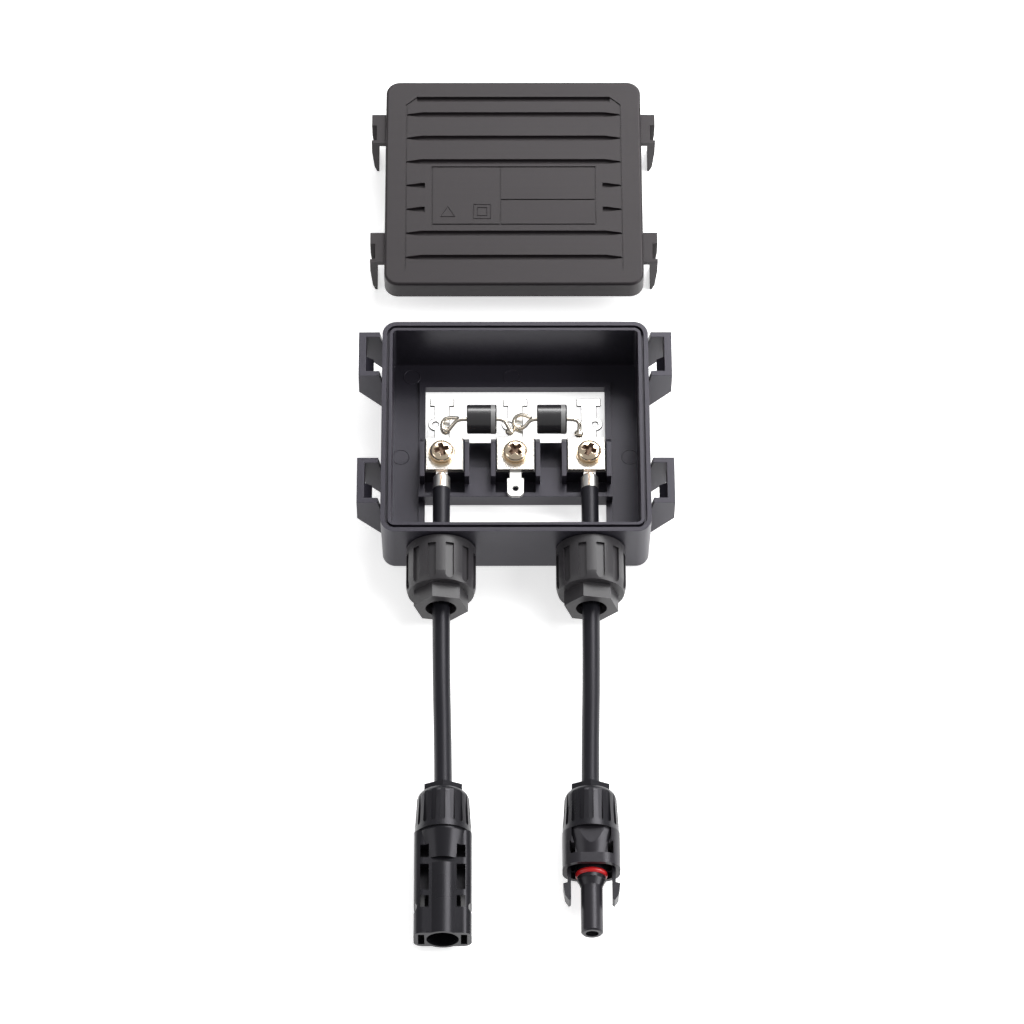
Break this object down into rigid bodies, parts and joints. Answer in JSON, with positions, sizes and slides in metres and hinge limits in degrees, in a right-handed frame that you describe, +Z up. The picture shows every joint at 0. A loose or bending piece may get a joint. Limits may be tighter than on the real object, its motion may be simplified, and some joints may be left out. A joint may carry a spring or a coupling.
{
  "type": "pv junction box",
  "caption": "Black plastic solar-panel junction box with its cover off, screw terminals and bypass diodes inside, and two short leads with connectors.",
  "frame": {"origin": "centre of the base's underside, in the middle of the ribbon opening", "axes": "+X to the right across the box, +Y from the cable glands towards the back, +Z up out of the open box"},
  "size_m": [0.1096, 0.3368, 0.0257],
  "materials": {
    "housing_plastic": "satin",
    "seal_rubber": "matte",
    "gland_plastic": "satin",
    "connector_plastic": "satin",
    "tinned_copper": "satin",
    "plated_steel": "satin",
    "nickel_screw": "polished",
    "diode_plastic": "gloss",
    "lead_wire": "satin",
    "cable_jacket": "satin",
    "bare_copper": "satin",
    "contact_metal": "polished",
    "o_ring_rubber": "satin"
  },
  "bodies": {
    "box": {"base_shell": "housing_plastic", "gland_seal_left": "seal_rubber", "gland_seal_right": "seal_rubber", "socket_seal": "seal_rubber", "plug_seal": "seal_rubber", "socket_housing": "connector_plastic", "plug_housing": "connector_plastic", "gland_claw_left": "connector_plastic", "gland_claw_right": "connector_plastic", "socket_claw": "connector_plastic", "plug_claw": "connector_plastic", "terminal_rail_left": "tinned_copper", "clamp_plate_left": "plated_steel", "terminal_washer_left": "plated_steel", "terminal_nut_left": "plated_steel", "terminal_rail_middle": "tinned_copper", "clamp_plate_middle": "plated_steel", "terminal_washer_middle": "plated_steel", "terminal_nut_middle": "plated_steel", "terminal_rail_right": "tinned_copper", "clamp_plate_right": "plated_steel", "terminal_washer_right": "plated_steel", "terminal_nut_right": "plated_steel", "diode_body_left": "diode_plastic", "diode_body_right": "diode_plastic", "diode_leads_left": "lead_wire", "diode_leads_right": "lead_wire", "solder_joints": "lead_wire", "cable_left": "cable_jacket", "cable_right": "cable_jacket", "conductor_left": "bare_copper", "conductor_right": "bare_copper", "socket_contact": "contact_metal", "plug_contact": "contact_metal", "plug_o_ring": "o_ring_rubber"},
    "cover": {"cover_shell": "housing_plastic", "cover_seal": "seal_rubber"},
    "gland_nut_left": {"gland_nut_left": "gland_plastic"},
    "gland_nut_right": {"gland_nut_right": "gland_plastic"},
    "socket_nut": {"socket_nut": "connector_plastic"},
    "plug_nut": {"plug_nut": "connector_plastic"},
    "terminal_screw_left": {"terminal_screw_left": "nickel_screw"},
    "terminal_screw_middle": {"terminal_screw_middle": "nickel_screw"},
    "terminal_screw_right": {"terminal_screw_right": "nickel_screw"}
  },
  "joints": [
    {"name": "cover_lift", "type": "slide", "parent": "box", "child": "cover", "axis": [0, 0, 1], "range_m": [0, 0.06]},
    {"name": "gland_nut_left_turn", "type": "hinge", "parent": "box", "child": "gland_nut_left", "pos_m": [-0.0257, -0.055, 0.0125], "axis": [0, -1, 0], "range_deg": [0, 360]},
    {"name": "gland_nut_right_turn", "type": "hinge", "parent": "box", "child": "gland_nut_right", "pos_m": [0.0257, -0.055, 0.0125], "axis": [0, -1, 0], "range_deg": [0, 360]},
    {"name": "socket_nut_turn", "type": "hinge", "parent": "box", "child": "socket_nut", "pos_m": [-0.0246, -0.141, 0.0095], "axis": [0, 1, 0], "range_deg": [0, 360]},
    {"name": "plug_nut_turn", "type": "hinge", "parent": "box", "child": "plug_nut", "pos_m": [0.0246, -0.141, 0.0095], "axis": [0, 1, 0], "range_deg": [0, 360]},
    {"name": "terminal_screw_left_turn", "type": "hinge", "parent": "box", "child": "terminal_screw_left", "pos_m": [-0.0257, -0.0033, 0.012], "axis": [0, 0, 1], "range_deg": [0, 360]},
    {"name": "terminal_screw_middle_turn", "type": "hinge", "parent": "box", "child": "terminal_screw_middle", "pos_m": [0, -0.0033, 0.012], "axis": [0, 0, 1], "range_deg": [0, 360]},
    {"name": "terminal_screw_right_turn", "type": "hinge", "parent": "box", "child": "terminal_screw_right", "pos_m": [0.0257, -0.0033, 0.012], "axis": [0, 0, 1], "range_deg": [0, 360]}
  ]
}
